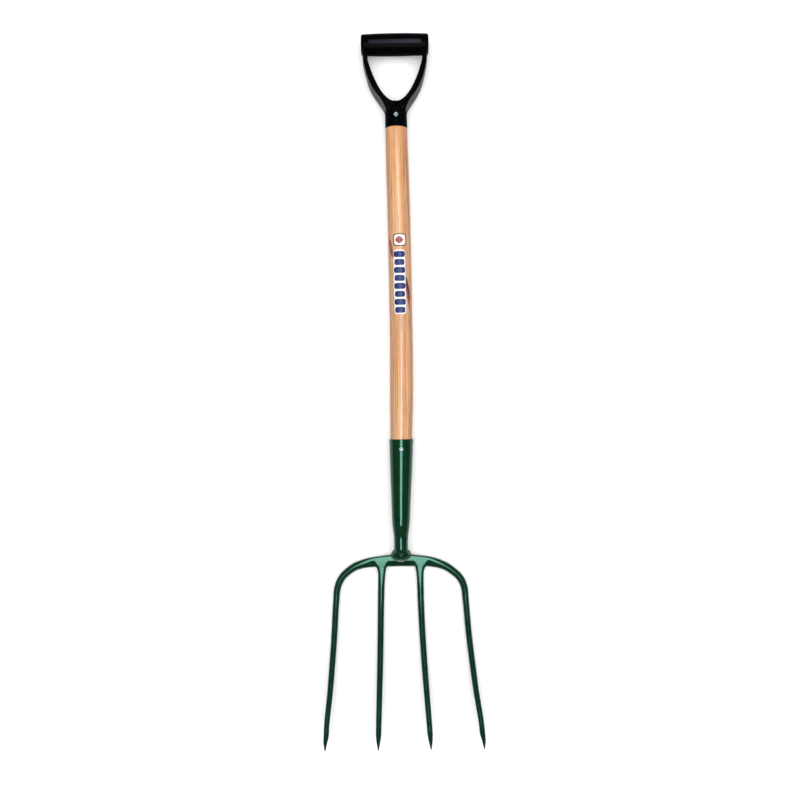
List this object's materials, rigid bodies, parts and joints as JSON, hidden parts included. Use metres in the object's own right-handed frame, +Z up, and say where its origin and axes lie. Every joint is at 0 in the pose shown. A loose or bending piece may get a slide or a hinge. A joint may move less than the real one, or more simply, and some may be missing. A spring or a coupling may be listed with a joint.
{
  "type": "four-prong garden fork",
  "caption": "Round-tined garden fork with a D grip, an ash shaft and a tapered steel socket, lying on its back.",
  "frame": {"origin": "on the surface the fork lies on, under the centre of its bounding box", "axes": "+Y along the tool towards the grip, +Z up out of the fork's front face, +X across the tines"},
  "size_m": [0.2592, 1.1444, 0.0416],
  "materials": {
    "black_plastic": "satin moulded polypropylene",
    "ash_wood": "clear lacquer over straight-grained ash",
    "green_paint": "glossy dark green enamel over steel",
    "zinc_steel": "bright zinc",
    "label_film": "printed transfer under lacquer"
  },
  "bodies": {
    "root": {"grip": "black_plastic", "grip_rivet": "zinc_steel", "grip_rivet_burr": "zinc_steel", "shaft": "ash_wood", "shaft_label": "label_film", "socket": "green_paint", "socket_rivet": "zinc_steel", "socket_rivet_burr": "zinc_steel", "weld_bead": "green_paint", "fork_head": "green_paint"}
  },
  "joints": []
}
